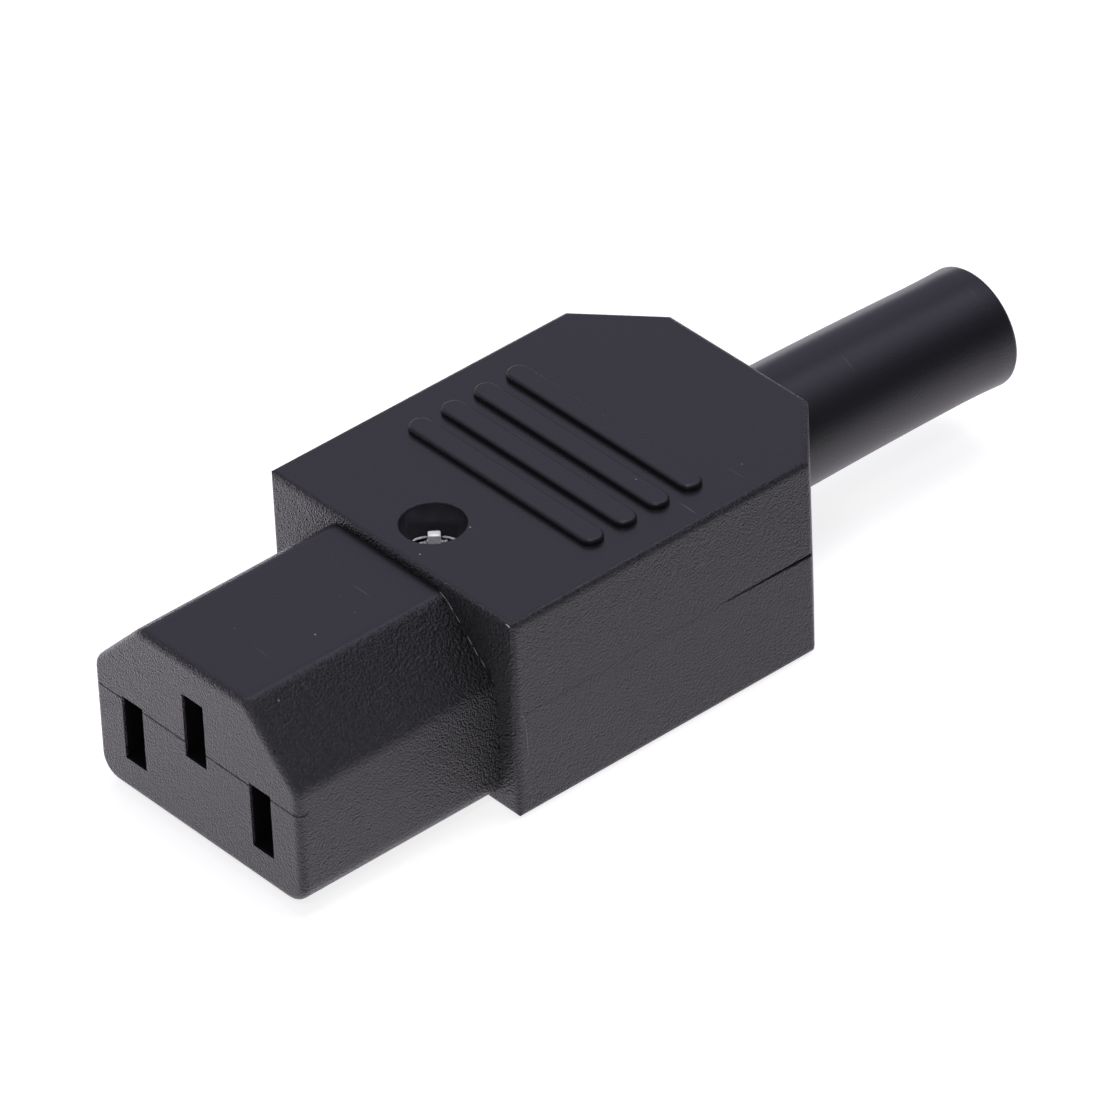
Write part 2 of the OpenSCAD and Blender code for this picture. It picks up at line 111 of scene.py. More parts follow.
def towards(tree, place, direction):
    """How far a place or a direction goes along another direction."""
    return vector_sum(tree, "DOT_PRODUCT", place, direction)["Value"]


def remap(tree, value, start, end, least=0.0, most=1.0):
    """Goes from least to most as value goes from start to end, and stays there beyond."""
    return add_node(tree, "ShaderNodeMapRange",
                    {"Value": value, "From Min": start, "From Max": end,
                     "To Min": least, "To Max": most}).outputs["Result"]


def mix_value(tree, factor, first, second):
    """A value between two numbers or outputs."""
    return add_node(tree, "ShaderNodeMix", {0: factor, 2: first, 3: second}, data_type="FLOAT").outputs[0]


deselect_all()
bpy.ops.mesh.primitive_circle_add(vertices=96, radius=table_radius, fill_type="NGON",
                                  location=(0, 0, -table_drop))
table = bpy.context.object
table.name = "table"

white = bpy.data.materials.new("table_white")
white.use_nodes = True
tree = white.node_tree
tree.nodes.clear()
ray = add_node(tree, "ShaderNodeLightPath").outputs
matt = add_node(tree, "ShaderNodeBsdfDiffuse", {"Color": table_grey})
seen_glow = sum_of(tree, "MULTIPLY", ray["Is Camera Ray"], table_glow)
glow = add_node(tree, "ShaderNodeEmission", {"Color": (1, 1, 1, 1), "Strength": seen_glow})
# In reflections the table is brightest in front of the connector and to its left
place = add_node(tree, "ShaderNodeTexCoord").outputs["Object"]
forward_left = towards(tree, place, (-0.77, -0.64, 0))
fade = remap(tree, forward_left, start=-60 * MM, end=70 * MM, least=0.60, most=2.10)
close_by = remap(tree, forward_left, start=-66 * MM, end=-44 * MM, least=0.15)
mirrored = sum_of(tree, "MULTIPLY", sum_of(tree, "MULTIPLY", fade, close_by), ray["Is Glossy Ray"])
gleam = add_node(tree, "ShaderNodeEmission", {"Color": table_gleam, "Strength": mirrored})
lit = add_node(tree, "ShaderNodeAddShader", {0: matt.outputs[0], 1: glow.outputs[0]})
lit = add_node(tree, "ShaderNodeAddShader", {0: lit.outputs[0], 1: gleam.outputs[0]})
add_node(tree, "ShaderNodeOutputMaterial", {"Surface": lit.outputs[0]})
table.data.materials.append(white)

# The tent: brightest high on the left behind the connector, dim near the table and on the right,
# with a soft bright patch almost overhead
tent = bpy.data.worlds.new("soft_tent")
scene.world = tent
tent.use_nodes = True
tree = tent.node_tree
tree.nodes.clear()
way = add_node(tree, "ShaderNodeTexCoord").outputs["Generated"]
bright_side = towards(tree, way, Vector((-0.80, 0.25, 0.35)).normalized())
overhead = towards(tree, way, Vector((0.10, 0.50, 0.85)).normalized())
height = add_node(tree, "ShaderNodeSeparateXYZ", {0: way}).outputs["Z"]
shade = remap(tree, bright_side, start=-0.5, end=1.0, least=0.03, most=0.77)
lift = remap(tree, height, start=0.0, end=0.55, least=0.35)
patch = remap(tree, overhead, start=0.90, end=0.99, most=1.2)
strength = sum_of(tree, "ADD", sum_of(tree, "MULTIPLY", shade, lift), patch)
ray = add_node(tree, "ShaderNodeLightPath").outputs
sky = add_node(tree, "ShaderNodeBackground",
               {"Color": tent_colour, "Strength": mix_value(tree, ray["Is Camera Ray"], strength, 1.0)})
add_node(tree, "ShaderNodeOutputWorld", {"Surface": sky.outputs[0]})


def softbox(name, place, size, watts):
    """A square soft lamp that faces the middle of the connector."""
    lamp = bpy.data.lights.new(name, "AREA")
    lamp.shape = "SQUARE"
    lamp.size = size
    lamp.energy = watts
    holder = bpy.data.objects.new(name, lamp)
    scene.collection.objects.link(holder)
    holder.location = place
    holder.rotation_mode = "QUATERNION"
    holder.rotation_quaternion = (aim - Vector(place)).to_track_quat("-Z", "Y")
    return holder


softbox("lamp_overhead", (-0.10, 0.25, 1.00), 0.70, 5.5).visible_glossy = False
softbox("lamp_by_the_camera", (0.42, -0.50, 0.74), 0.16, 1.5)
softbox("lamp_straight_above", (-0.05, 0.02, 1.00), 0.22, 1.2)
softbox("lamp_right", (0.85, -0.10, 0.50), 0.35, 1.0).visible_glossy = False

# ---------------------------------------------------------------------------
# Upper shell: one moulding of black polyamide, with roof, walls, upper half of the nose,
# grip ribs and screw well. The mould was polished for the roof and spark-eroded for the sides.
# The ribs' tops, the rim of the well and the edges of the joint are eased.
# ---------------------------------------------------------------------------
upper_low, upper_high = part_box("upper_shell")
screw_low, screw_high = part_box("assembly_screw")
nose_front = upper_low.y
nose_length = 18.25 * MM
nose_half = 11.2 * MM               # half the nose's width
nose_bottom = 0.8 * MM
nose_top = nose_bottom + 15.35 * MM
nose_cut = 5.3 * MM                 # the chamfer along each of the nose's upper edges
nose_slice = 0.9 * MM               # how much of the nose's front is made anew
nose_roll = 0.6 * MM                # radius of its front edge
rim_side, rim_top, rim_slant = 0.8 * MM, 0.3 * MM, 0.9 * MM      # strip that counts as that edge
shoulder = nose_front + nose_length
rear = upper_high.y
side = upper_high.x
parting = upper_low.z
rib_top = upper_high.z
rib_height = 0.5 * MM
roof = rib_top - rib_height
screw_axis = (screw_low + screw_high) / 2
well_r = 2.45 * MM
rear_cut_width, rear_cut_length = 5.8 * MM, 5.2 * MM
rear_cut = Vector((rear_cut_length, rear_cut_width, 0)).normalized()     # outward, square to the cut
joint_opens = 1.0 * MM              # from here to the rear the joint's edges are eased more
flush_front, flush_rear = nose_front + 1.0 * MM, joint_opens - 0.1 * MM
rib_ease, well_ease, joint_ease, flush_ease = 0.27 * MM, 0.11 * MM, 0.07 * MM, 0.022 * MM
near, touch = 0.4 * MM, 0.01 * MM
slots_low = Vector((-8.7 * MM, nose_front + 0.225 * MM, 2.5 * MM))       # round all three slots
slots_high = Vector((8.7 * MM, nose_front + 17.325 * MM, 13.3 * MM))
dust_grey = (0.20, 0.20, 0.20, 1)
# painted light: a lighter, bluish black for the screw well's wall, for the light it catches
well_painted_light = (0.022, 0.020, 0.029, 1)
roof_grain, rib_grain = 0.04, 0.05  # share of the grain's depth that is left there
side_rough, dust_rough = 0.42, 0.8
plain_shine, slot_shine = 0.5, 0.08


def node_group(name, values_in, values_out):
    """An empty node group with named inputs and outputs; gives it with its two end nodes."""
    group = bpy.data.node_groups.new(name, "ShaderNodeTree")
    for label, value in values_in.items():
        socket = group.interface.new_socket(name=label, in_out="INPUT", socket_type="NodeSocketFloat")
        socket.default_value = value
    for label in values_out:
        group.interface.new_socket(name=label, in_out="OUTPUT", socket_type="NodeSocketFloat")
    return group, group.nodes.new("NodeGroupInput"), group.nodes.new("NodeGroupOutput")


# Spark-eroded grain: rounded pebbles with a finer noise over them
grain, grain_in, grain_out = node_group(
    "eroded_grain", {"Pebbles per metre": 5200.0, "Depth": 1.0}, ["Height"])
place = add_node(grain, "ShaderNodeTexCoord").outputs["Object"]
per_metre = grain_in.outputs["Pebbles per metre"]
pebbles = add_node(grain, "ShaderNodeTexVoronoi", {"Vector": place, "Scale": per_metre, "Smoothness": 0.6},
                   feature="SMOOTH_F1")
waves = add_node(grain, "ShaderNodeTexNoise",
                 {"Vector": place, "Scale": sum_of(grain, "MULTIPLY", per_metre, 0.8),
                  "Detail": 3.0, "Roughness": 0.6})
rounded = sum_of(grain, "MULTIPLY", pebbles.outputs["Distance"], -0.6)
both = sum_of(grain, "ADD", rounded, waves.outputs["Fac"])
grain.links.new(sum_of(grain, "MULTIPLY", both, grain_in.outputs["Depth"]), grain_out.inputs["Height"])

# Which way a face looks, so that one material can be polished above and grained at the sides
facing, _, facing_out = node_group("facing", {}, ["Up", "Slope"])
normal = add_node(facing, "ShaderNodeNewGeometry").outputs["Normal"]
upward = add_node(facing, "ShaderNodeSeparateXYZ", {0: normal}).outputs["Z"]
up = remap(facing, upward, start=0.86, end=0.97)
slope = sum_of(facing, "MULTIPLY", remap(facing, upward, start=0.25, end=0.6),
               sum_of(facing, "SUBTRACT", 1.0, up))
facing.links.new(up, facing_out.inputs["Up"])
facing.links.new(slope, facing_out.inputs["Slope"])

# Handling marks: specks of dust and a few hairline scratches
marks, marks_in, marks_out = node_group("handling_marks", {"Amount": 1.0}, ["Dust", "Scratch"])
place = add_node(marks, "ShaderNodeTexCoord").outputs["Object"]
amount = marks_in.outputs["Amount"]
specks = add_node(marks, "ShaderNodeTexVoronoi", {"Vector": place, "Scale": 900.0, "Randomness": 1.0})
speck = remap(marks, specks.outputs["Distance"], start=0.085, end=0.045)
chance = add_node(marks, "ShaderNodeSeparateColor", {0: specks.outputs["Color"]}).outputs[0]
few = sum_of(marks, "GREATER_THAN", chance, 0.93)
dust = sum_of(marks, "MULTIPLY", sum_of(marks, "MULTIPLY", speck, few), amount)
stretch = add_node(marks, "ShaderNodeMapping",
                   {"Vector": place, "Rotation": (0, 0, 0.5), "Scale": (160.0, 5200.0, 160.0)})
hairlines = add_node(marks, "ShaderNodeTexNoise",
                     {"Vector": stretch.outputs[0], "Scale": 1.0, "Detail": 1.0}).outputs["Fac"]
scratch = sum_of(marks, "MULTIPLY", remap(marks, hairlines, start=0.79, end=0.85), amount)
marks.links.new(dust, marks_out.inputs["Dust"])
marks.links.new(scratch, marks_out.inputs["Scratch"])


def mix_colour(tree, factor, first, second):
    """A colour between two colours or outputs."""
    return add_node(tree, "ShaderNodeMix", {0: factor, 6: first, 7: second}, data_type="RGBA").outputs[2]


def in_well(tree):
    """1 inside the screw well, whose wall is polished and carries painted light, 0 elsewhere."""
    place = add_node(tree, "ShaderNodeTexCoord").outputs["Object"]
    flat = vector_sum(tree, "MULTIPLY", place, (1, 1, 0))["Vector"]
    from_axis = vector_sum(tree, "DISTANCE", flat, (0, screw_axis.y, 0))["Value"]
    return sum_of(tree, "LESS_THAN", from_axis, well_r + 0.02 * MM)


def in_slots(tree):
    """1 inside the nose, where the mould left the slots' walls dull, 0 elsewhere."""
    place = add_node(tree, "ShaderNodeTexCoord").outputs["Object"]
    from_middle = vector_sum(tree, "SUBTRACT", place, (slots_low + slots_high) / 2)["Vector"]
    from_middle = vector_sum(tree, "ABSOLUTE", from_middle)["Vector"]
    beyond = vector_sum(tree, "SUBTRACT", from_middle, (slots_high - slots_low) / 2)["Vector"]
    x, y, z = add_node(tree, "ShaderNodeSeparateXYZ", {0: beyond}).outputs
    return sum_of(tree, "LESS_THAN", sum_of(tree, "MAXIMUM", sum_of(tree, "MAXIMUM", x, y), z), 0.0)


def eroded(tree, per_metre, depth):
    """The height of the spark-eroded grain."""
    inputs = {"Pebbles per metre": per_metre, "Depth": depth}
    return add_node(tree, "ShaderNodeGroup", inputs, node_tree=grain).outputs["Height"]


def shell_plastic(name, tint, polish, grain_depth, ior=1.5):
    """Black moulded plastic; tint is its colour, polish the roughness of its upper faces."""
    material = bpy.data.materials.new(name)
    material.use_nodes = True
    tree = material.node_tree
    skin = tree.nodes["Principled BSDF"]
    skin.inputs["IOR"].default_value = ior
    way_up = add_node(tree, "ShaderNodeGroup", node_tree=facing).outputs
    wear = add_node(tree, "ShaderNodeGroup", node_tree=marks).outputs
    fine = eroded(tree, per_metre=6600.0, depth=3.0)
    coarse = eroded(tree, per_metre=5200.0, depth=1.7)
    place = add_node(tree, "ShaderNodeTexCoord").outputs["Object"]
    level = add_node(tree, "ShaderNodeSeparateXYZ", {0: place}).outputs["Z"]
    well, slot_wall = in_well(tree), in_slots(tree)
    # The grain all but ends on the roof and the ribs, and leaves the well and the slots smooth
    height = mix_value(tree, way_up["Slope"], fine, coarse)
    depth = mix_value(tree, way_up["Up"], 1.0, roof_grain)
    depth = mix_value(tree, well, depth, 0.0)
    depth = mix_value(tree, sum_of(tree, "GREATER_THAN", level, roof), depth, rib_grain)
    depth = mix_value(tree, slot_wall, depth, 0.0)
    bump = add_node(tree, "ShaderNodeBump",
                    {"Distance": grain_depth, "Height": sum_of(tree, "MULTIPLY", height, depth)})
    rough = mix_value(tree, way_up["Up"], side_rough, polish)
    rough = mix_value(tree, wear["Dust"], rough, dust_rough)
    colour = mix_colour(tree, wear["Dust"], tint, dust_grey)
    faint_scratch = sum_of(tree, "MULTIPLY", wear["Scratch"], 0.25)
    colour = mix_colour(tree, faint_scratch, colour, dust_grey)
    # Painted light: the well's wall gets a lighter, bluish black than the rest of the shell
    colour = mix_colour(tree, well, colour, well_painted_light)
    for socket, value in (("Base Color", colour), ("Roughness", rough), ("Normal", bump.outputs[0]),
                          ("Specular IOR Level", mix_value(tree, slot_wall, plain_shine, slot_shine))):
        tree.links.new(value, skin.inputs[socket])
    return material


def on_skin(p):
    """True where a point of the joint lies on the outside of the housing."""
    if p.y < shoulder - near:
        return abs(p.x) > nose_half - near or p.y < nose_front + near
    cut = rear_cut.x * side + rear_cut.y * (rear - rear_cut_length)
    return (abs(p.x) > side - near or p.y > rear - near or p.y < shoulder + near
            or rear_cut.x * abs(p.x) + rear_cut.y * p.y > cut - near)


def at_joint(p):
    """The joint's outer edge, apart from the front half's sides, where the shells close flush."""
    flush = flush_front < p.y < flush_rear
    return abs(p.z - parting) < touch and on_skin(p) and not flush


def at_flush_joint(p):
    """The joint's outer edge along the sides of the body's front half."""
    return abs(p.z - parting) < touch and shoulder - near < p.y < flush_rear and on_skin(p)


def at_rib_top(p):
    return p.z > rib_top - touch


def at_well(p):
    return abs(p.z - roof) < touch and (p - screw_axis).xy.length < well_r + 0.15 * MM


def on_front_rim(p):
    """True for the outline of the nose's front face, false for its slots and its joint."""
    slanted = abs(p.x) + p.z > nose_half + nose_top - nose_cut - rim_slant
    upright = abs(p.x) > nose_half - rim_side
    level = p.z < nose_bottom + rim_side or p.z > nose_top - rim_top
    return p.y < nose_front + touch and abs(p.z - parting) > touch and (slanted or upright or level)


def copy_of(node, name):
    """A welded copy of a CAD node's mesh as a new piece, left selected in edit mode."""
    deselect_all()
    piece = bpy.data.objects.new(name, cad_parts[node].data.copy())
    scene.collection.objects.link(piece)
    piece.data.materials.clear()
    bpy.context.view_layer.objects.active = piece
    piece.select_set(True)
    bpy.ops.object.mode_set(mode="EDIT")
    bpy.ops.mesh.select_mode(type="EDGE")
    bpy.ops.mesh.select_all(action="SELECT")
    bpy.ops.mesh.remove_doubles(threshold=1e-6)
    bpy.ops.mesh.dissolve_limited(angle_limit=0.01)
    return piece


def pick(piece, kind, chosen):
    """In edit mode, selects only the points, edges or faces that the test chosen() passes."""
    bpy.ops.mesh.select_mode(type=kind)
    bpy.ops.mesh.select_all(action="DESELECT")
    shape = bmesh.from_edit_mesh(piece.data)
    for part in {"VERT": shape.verts, "EDGE": shape.edges, "FACE": shape.faces}[kind]:
        if chosen(part):
            part.select_set(True)
    bmesh.update_edit_mesh(piece.data)


def ease(piece, chosen, width, segments=1):
    """Rounds the sharp edges whose middle the test chosen() picks."""
    pick(piece, "EDGE", lambda edge: edge.is_manifold and edge.calc_face_angle() > radians(35)
         and chosen((edge.verts[0].co + edge.verts[1].co) / 2))
    bpy.ops.mesh.bevel(offset=width, segments=segments, affect="EDGES", clamp_overlap=False)


def renew_nose_front(piece):
    """Takes the front of the nose off square and puts it back with an evenly rolled edge."""
    cut = nose_front + nose_slice
    bpy.ops.mesh.select_all(action="SELECT")
    bpy.ops.mesh.bisect(plane_co=(0, cut, 0), plane_no=(0, -1, 0), use_fill=True, clear_outer=True)
    pick(piece, "FACE", lambda face: face.normal.y < -0.99 and face.calc_center_median().y < cut + touch)
    bpy.ops.mesh.extrude_region_move(TRANSFORM_OT_translate={"value": (0, -nose_slice, 0)})
    ease(piece, on_front_rim, nose_roll, 5)


def divide_where_joint_opens():
    """Adds an edge round the shell in hand, where the easing of the joint changes."""
    bpy.ops.mesh.select_all(action="SELECT")
    bpy.ops.mesh.bisect(plane_co=(0, joint_opens, 0), plane_no=(0, 1, 0))


def finish_piece(piece, material, slot, *stood_for):
    """Back to object mode, smooth shading, material, and the piece's place in the frame."""
    if bpy.context.mode == "EDIT_MESH":
        bpy.ops.object.mode_set(mode="OBJECT")
    piece.data.materials.clear()
    piece.data.materials.append(material)
    attribute = piece.data.attributes.get("custom_normal")
    if attribute:
        piece.data.attributes.remove(attribute)
    bpy.ops.object.shade_smooth_by_angle(angle=radians(32))
    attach(piece, "root")
    for node in stood_for:
        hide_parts(node)


def even_normals(piece):
    """Keeps the large faces flat where they meet their rounded edges."""
    piece.modifiers.new("even", "WEIGHTED_NORMAL").keep_sharp = True
    bpy.ops.object.modifier_apply(modifier="even")


upper = copy_of("upper_shell", "upper_shell_moulding")
renew_nose_front(upper)
divide_where_joint_opens()
ease(upper, at_rib_top, rib_ease, 4)
ease(upper, at_well, well_ease, 3)
ease(upper, at_joint, joint_ease)
ease(upper, at_flush_joint, flush_ease)
black_shell = shell_plastic("black_polyamide", (0.0072, 0.0066, 0.0080, 1), 0.30, 0.09 * MM)
finish_piece(upper, black_shell, "shell_plastic", "upper_shell")
even_normals(upper)

# ---------------------------------------------------------------------------
# Lower shell: the other half, moulded from the same black plastic. Its edge at
# the joint is eased more, and gapes a little towards the rear of one side.
# ---------------------------------------------------------------------------
gape = 0.18 * MM
gape_front = 6 * MM                 # the gap runs from here to the rear
gape_in, gape_up = 0.7 * MM, 0.12 * MM      # how far the edge that moves reaches in and up
lower_joint_ease = 0.08 * MM


def at_gape(vert):
    """The lower shell's edge at the joint, on the right towards the rear."""
    p = vert.co
    return p.x > side - gape_in and p.y > gape_front and abs(p.z - parting) < gape_up and on_skin(p)


lower = copy_of("lower_shell", "lower_shell_moulding")
renew_nose_front(lower)
divide_where_joint_opens()
ease(lower, at_joint, lower_joint_ease)
ease(lower, at_flush_joint, flush_ease)
pick(lower, "VERT", at_gape)
bpy.ops.transform.translate(value=(0, 0, -gape))
finish_piece(lower, black_shell, "shell_plastic", "lower_shell")
even_normals(lower)

# ---------------------------------------------------------------------------
# Cable boot: soft black PVC, moulded in one piece with its flange. It narrows, flares
# a little at its free end, and has sagged under its own weight.
# ---------------------------------------------------------------------------
boot_low, boot_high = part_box("cable_boot")
boot_axis_z = (boot_low.z + boot_high.z) / 2
boot_end = boot_high.y
boot_len = boot_end - rear          # the part that is seen behind the housing
flange_r = boot_high.x
flange_back = rear - 2 * MM
bore_r = 3.6 * MM
neck_r = 4.45 * MM                  # in the housing's rear wall
root_r, root_ease = 5.0 * MM, 0.1 * MM
narrowing, flare = 0.3 * MM, 0.13 * MM
lip = 0.4 * MM                      # the rolled outer edge of the free end
mouth = 0.2 * MM                    # the chamfer of the bore there
sag = 0.55 * MM
outline = [(boot_low.y, bore_r), (boot_low.y, flange_r), (flange_back, flange_r), (flange_back, neck_r),
           (rear, neck_r), (rear, root_r - root_ease), (rear + root_ease, root_r)]
for i in range(1, 13):
    t = i / 12
    widening = flare * max(0, (t - 0.8) / 0.2) ** 2
    outline.append((rear + root_ease + t * (boot_len - root_ease - lip), root_r - narrowing * t + widening))
lip_middle_r = root_r - narrowing + flare - lip
for angle in (25, 50, 75, 90):
    outline.append((boot_end - lip + lip * sin(radians(angle)), lip_middle_r + lip * cos(radians(angle))))
outline += [(boot_end, bore_r + mouth), (boot_end - mouth, bore_r)]
for i in range(1, 12):
    outline.append((boot_end - mouth - (boot_len - mouth) * i / 12, bore_r))

deselect_all()
shape = bpy.data.meshes.new("cable_boot_moulding")
shape.from_pydata([(r, y, boot_axis_z) for y, r in outline],
                  [(i, (i + 1) % len(outline)) for i in range(len(outline))], [])
boot = bpy.data.objects.new("cable_boot_moulding", shape)
scene.collection.objects.link(boot)
bpy.context.view_layer.objects.active = boot
boot.select_set(True)
bpy.ops.object.mode_set(mode="EDIT")
bpy.ops.mesh.select_all(action="SELECT")
bpy.ops.mesh.spin(steps=96, angle=radians(360), center=(0, 0, boot_axis_z), axis=(0, 1, 0))
bpy.ops.mesh.select_all(action="SELECT")
bpy.ops.mesh.remove_doubles(threshold=1e-6)
bpy.ops.mesh.normals_make_consistent(inside=False)
for station in sorted({round(y, 7) for y, r in outline if y > rear}):
    pick(boot, "VERT", lambda vert: abs(vert.co.y - station) < 0.1 * touch)
    bpy.ops.transform.translate(value=(0, 0, -sag * ((station - rear) / boot_len) ** 2))
soft_black = shell_plastic("boot_pvc", (0.0066, 0.0060, 0.0074, 1), 0.32, 0.006 * MM, ior=1.46)
finish_piece(boot, soft_black, "boot_pvc", "cable_boot")

# ---------------------------------------------------------------------------
# Housing screw: nickel-plated steel, sunk in the well of the roof. Its dished head has
# a cross recess, and metal torn off by the driver stands at the head's far rim.
# ---------------------------------------------------------------------------
head_r = screw_high.x
head_top = screw_high.z
head_h = 1.9 * MM
shank_r = 1.5 * MM
thread_pitch = 0.6 * MM
root_share = 0.86                   # radius of the thread's root over its crest
recess = Vector((2.9, 0.7, 1.6)) * MM
recess_turn = 18
recess_sunk = 0.4 * MM              # middle of the recess below the head's top


def metal(name, colour, roughness, streaks, metallic=1.0):
    """Plated or rolled metal; streaks is how many faint streaks a metre has along each axis."""
    material = bpy.data.materials.new(name)
    material.use_nodes = True
    tree = material.node_tree
    skin = tree.nodes["Principled BSDF"]
    skin.inputs["Metallic"].default_value = metallic
    place = add_node(tree, "ShaderNodeTexCoord").outputs["Object"]
    stretch = add_node(tree, "ShaderNodeMapping", {"Vector": place, "Scale": streaks})
    flow = add_node(tree, "ShaderNodeTexNoise",
                    {"Vector": stretch.outputs[0], "Scale": 1.0, "Detail": 3.0}).outputs["Fac"]
    dark = tuple(0.7 * c for c in colour[:3]) + (1,)
    bump = add_node(tree, "ShaderNodeBump", {"Distance": 0.004 * MM, "Height": flow})
    for socket, value in (("Base Color", mix_colour(tree, flow, dark, colour)),
                          ("Roughness", mix_value(tree, flow, roughness * 1.4, roughness * 0.6)),
                          ("Normal", bump.outputs[0])):
        tree.links.new(value, skin.inputs[socket])
    return material


def on_screw_axis(face):
    return (face.calc_center_median().xy - screw_axis.xy).length < touch


nickel = metal("nickel_plate", (0.86, 0.85, 0.82, 1), 0.20, (2500, 2500, 900))
deselect_all()
bpy.ops.mesh.primitive_cylinder_add(vertices=48, radius=head_r, depth=head_h,
                                    location=(0, screw_axis.y, head_top - head_h / 2))
screw = bpy.context.object
screw.name = "housing_screw"
bpy.ops.object.transform_apply(location=True)
bpy.ops.object.mode_set(mode="EDIT")
for inward, rise in ((0.12, 0.0), (0.30, -0.22), (0.5, 0.06)):
    pick(screw, "FACE", lambda face: face.normal.z > 0.9 and on_screw_axis(face))
    bpy.ops.mesh.inset(thickness=inward * MM, depth=rise * MM)
pick(screw, "FACE", lambda face: face.normal.z < -0.9 and on_screw_axis(face))
bpy.ops.mesh.inset(thickness=head_r - shank_r)
shank_len = head_top - head_h - screw_low.z
turns = int(shank_len / thread_pitch)
for i in range(turns):
    for grow, share in ((root_share, 0.3), (1 / root_share, 0.7)):
        bpy.ops.mesh.extrude_region_move(TRANSFORM_OT_translate={"value": (0, 0, -shank_len / turns * share)})
        bpy.ops.transform.resize(value=(grow, grow, 1), center_override=(0, screw_axis.y, 0))
bpy.ops.object.mode_set(mode="OBJECT")

# The cross recess is cut by two crossed blades, which are then taken away
for quarter in (0, 90):
    deselect_all()
    bpy.ops.mesh.primitive_cube_add(size=1, location=(0, 0, 0))
    blade = bpy.context.object
    bpy.ops.object.mode_set(mode="EDIT")
    bpy.ops.mesh.select_all(action="SELECT")
    bpy.ops.transform.resize(value=recess)
    bpy.ops.transform.rotate(value=radians(quarter + recess_turn), orient_axis="Z", center_override=(0, 0, 0))
    bpy.ops.transform.translate(value=(0, screw_axis.y, head_top - recess_sunk))
    bpy.ops.object.mode_set(mode="OBJECT")
    deselect_all()
    screw.select_set(True)
    bpy.context.view_layer.objects.active = screw
    cut = screw.modifiers.new("recess", "BOOLEAN")
    cut.operation = "DIFFERENCE"
    cut.solver = "EXACT"
    cut.object = blade
    bpy.ops.object.modifier_apply(modifier=cut.name)
    bpy.data.objects.remove(blade)
finish_piece(screw, nickel, "plated_steel", "assembly_screw")

# The torn metal: a small broken block on the far rim of the head, and chips by it, in a near-white,
# barely metallic finish that is a painted glint for the light they catch.
# Places are in millimetres along the rim, outwards from the axis and above the head.
away = Vector((-0.77, 0.64, 0))         # across the head, away from the front right
across = Vector((0.64, 0.77, 0))
# Painted glint: near-white and barely metallic, so the torn steel is bright by its colour rather than by
# reflection
steel_painted_glint = metal("torn_steel_painted_glint", (0.98, 0.97, 0.95, 1), 0.30, (2600, 2600, 2600), metallic=0.1)
chips = (("swarf_block", 0.02, 1.62, 0.60, (0.55, 0.92, 0.95), -12),
         ("swarf_left", -0.42, 2.02, 0.10, (0.16, 0.20, 0.24), -40),
         ("swarf_speck_1", -0.15, 2.00, 0.06, (0.12, 0.14, 0.14), -20),
         ("swarf_speck_2", 0.26, 1.98, 0.06, (0.12, 0.16, 0.12), -30),
         ("swarf_speck_3", 0.85, 1.95, 0.08, (0.14, 0.18, 0.12), 20))
for i, (name, along, outward, above, size, tilt) in enumerate(chips):
    deselect_all()
    bpy.ops.mesh.primitive_cube_add(size=1, location=(0, 0, 0))
    chip = bpy.context.object
    chip.name = name
    spot = Vector((0, screw_axis.y, head_top + above * MM)) + (away * outward + across * along) * MM
    bpy.ops.object.mode_set(mode="EDIT")
    bpy.ops.mesh.select_all(action="SELECT")
    bpy.ops.transform.resize(value=Vector(size) * MM)
    bpy.ops.mesh.bevel(offset=0.12 * size[0] * MM, segments=2, affect="EDGES")
    bpy.ops.mesh.select_all(action="SELECT")
    bpy.ops.mesh.subdivide(number_cuts=2, fractal=0.45, fractal_along_normal=0.5, seed=i + 3)
    bpy.ops.transform.rotate(value=radians(tilt), orient_axis="Y", center_override=(0, 0, 0))
    bpy.ops.transform.rotate(value=radians(40), orient_axis="Z", center_override=(0, 0, 0))
    bpy.ops.transform.translate(value=spot)
    bpy.ops.object.mode_set(mode="OBJECT")
    finish_piece(chip, steel_painted_glint, "plated_steel")


def hair(name, points, radius, material, slot):
    """A hair-thin bead along points given in millimetres, tapered at both ends."""
    deselect_all()
    curve = bpy.data.curves.new(name, "CURVE")
    curve.dimensions = "3D"
    curve.bevel_depth = radius * MM
    curve.bevel_resolution = 2
    curve.use_fill_caps = True
    line = curve.splines.new("POLY")
    line.points.add(len(points) - 1)
    for i, (point, place) in enumerate(zip(line.points, points)):
        point.co = (*(v * MM for v in place), 1)
        point.radius = 0.4 if i in (0, len(points) - 1) else 1.0
    fin = bpy.data.objects.new(name, curve)
    scene.collection.objects.link(fin)
    fin.select_set(True)
    bpy.context.view_layer.objects.active = fin
    bpy.ops.object.convert(target="MESH")
    finish_piece(bpy.context.object, material, slot)


# The burr turned up along the far rim of the head, either side of the block, in the same painted-glint white
burr_r = 2.2                            # millimetres from the screw's axis
for name, start, end, rise_start, rise_end in (("burr_left", -1.52, -0.46, 0.46, 0.34),
                                               ("burr_right", 0.56, 1.68, 0.30, 0.42)):
    points = []
    for step in range(7):
        share = step / 6
        along = start + (end - start) * share
        rise = rise_start + (rise_end - rise_start) * share
        spot = away * (burr_r ** 2 - along ** 2) ** 0.5 + across * along
        points.append((spot.x, spot.y + screw_axis.y / MM, head_top / MM + rise))
    hair(name, points, 0.075, steel_painted_glint, "plated_steel")

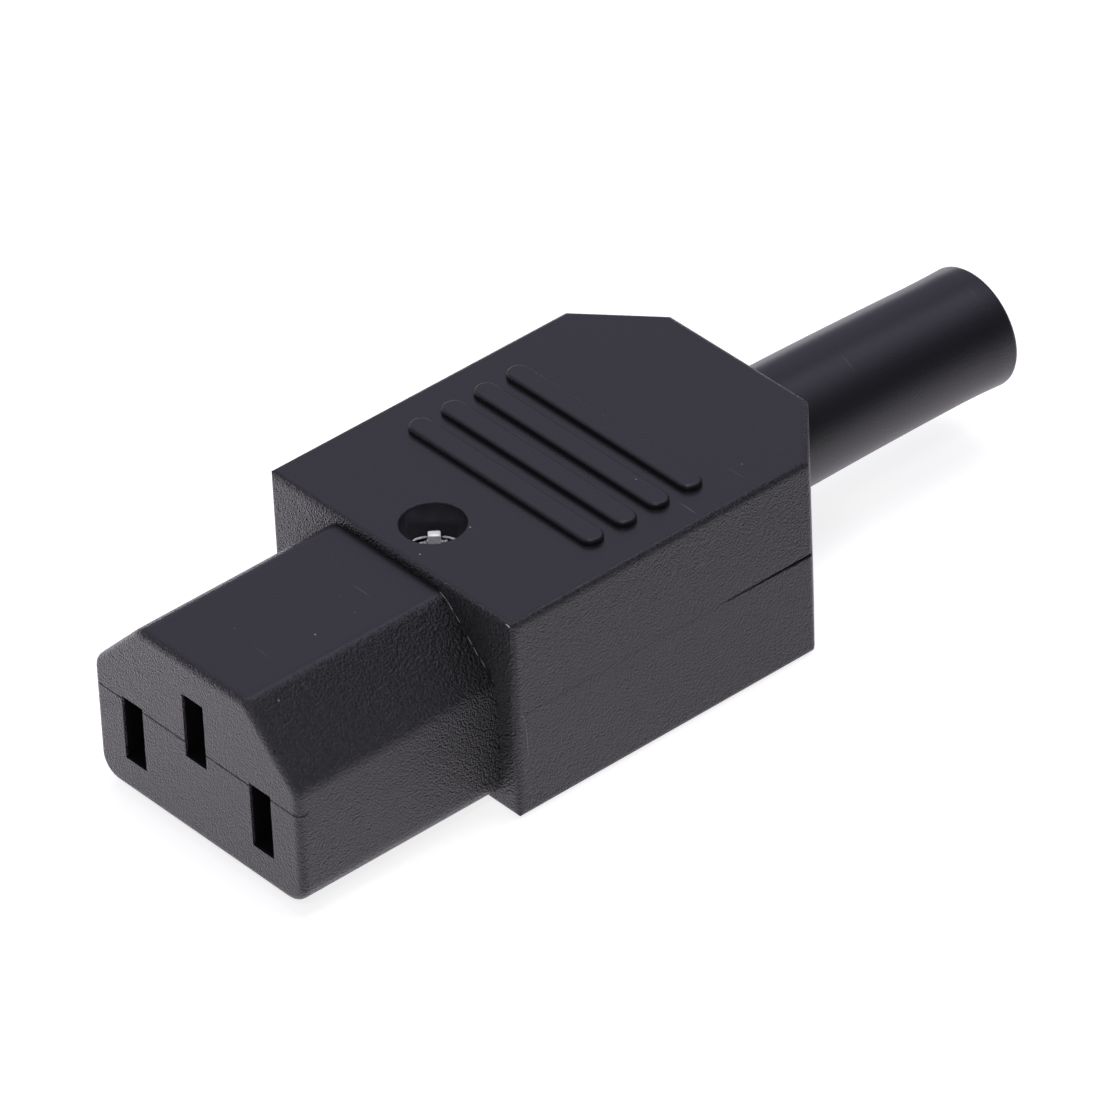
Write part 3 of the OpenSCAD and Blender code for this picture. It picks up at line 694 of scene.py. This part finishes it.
# ---------------------------------------------------------------------------
# Moulding flash: hair-thin fins and nibs of the shells' plastic, left where
# the mould's parts met: round the root of the nose, at the joint and at the body's corner.
# Their pale grey is painted highlight, for the light that catches their thin edges.
# ---------------------------------------------------------------------------
# Painted highlight: the flash is pale grey, not black like the shells, for the light on its edges
flash_painted_highlight = shell_plastic("flash_plastic_painted_highlight", (0.42, 0.41, 0.44, 1), 0.35, 0.01 * MM)
top_z, half_w, cut_w = nose_top / MM, nose_half / MM, nose_cut / MM
side_x, front_y, joint_z, roof_z = side / MM, shoulder / MM, parting / MM, roof / MM

# The nose's outline at its root, from the top over the right chamfer and down the side
root = [(half_w - cut_w - 0.3, top_z - 0.02), (half_w - cut_w + 0.5, top_z - 0.42)]
for share in (0.22, 0.34, 0.46, 0.58, 0.70, 0.82, 0.94):
    root.append((half_w - cut_w * (1 - share), top_z - cut_w * share))
root += [(half_w - 0.05, top_z - cut_w - 0.6), (half_w, top_z - cut_w - 1.6)]
root_y = front_y - 0.02
random.seed(4)
for i, (a, b) in enumerate(zip(root, root[1:])):
    if i % 4 == 3:
        continue
    drift = [random.uniform(-0.03, 0.03) for _ in range(3)]
    middle = ((a[0] + b[0]) / 2, (a[1] + b[1]) / 2)
    points = [(a[0], root_y + drift[0], a[1] + 0.02), (middle[0], root_y + drift[1], middle[1] + 0.03),
              (b[0] - 0.05, root_y + drift[2], b[1] + 0.02)]
    hair(f"root_flash_{i + 1}", points, 0.024, flash_painted_highlight, "shell_plastic")

# At the body's front right corner, pale with the same painted highlight: x and y are measured from that
# corner
nibs = (("corner_nick", 0.05, [(-0.62, 0.12, roof_z - 0.06), (-0.34, 0.14, roof_z - 0.15),
                               (-0.2, 0.2, roof_z - 0.34)]),
        ("joint_nib_1", 0.035, [(-0.5, 0.03, joint_z + 0.02), (-0.25, 0.1, joint_z + 0.02)]),
        ("joint_nib_2", 0.015, [(-0.02, 0.45, joint_z), (0, 0.75, joint_z - 0.03),
                                (0, 0.92, joint_z - 0.5)]),
        ("witness_line", 0.012, [(0, 0.95, joint_z - 0.7), (0, 1.0, joint_z - 1.9),
                                 (0, 1.05, joint_z - 3.6)]))
for name, radius, points in nibs:
    hair(name, [(side_x + x, front_y + y, z) for x, y, z in points], radius, flash_painted_highlight, "shell_plastic")

# ---------------------------------------------------------------------------
# Metal and inner pieces: nickel-plated steel screws and washers, brass contacts,
# nuts and insert, and the plastic clamp bar keep their own solids.
# ---------------------------------------------------------------------------
brass = metal("rolled_brass", (0.72, 0.52, 0.24, 1), 0.30, (400, 4000, 400))
clamp_black = shell_plastic("clamp_plastic", (0.02, 0.02, 0.021, 1), 0.45, 0.008 * MM)
for name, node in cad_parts.items():
    if node.hide_render:
        continue
    finish = brass
    if "screw" in name or "washer" in name:
        finish = nickel
    if name == "cord_clamp_bar":
        finish = clamp_black
    node.data.materials.clear()
    node.data.materials.append(finish)
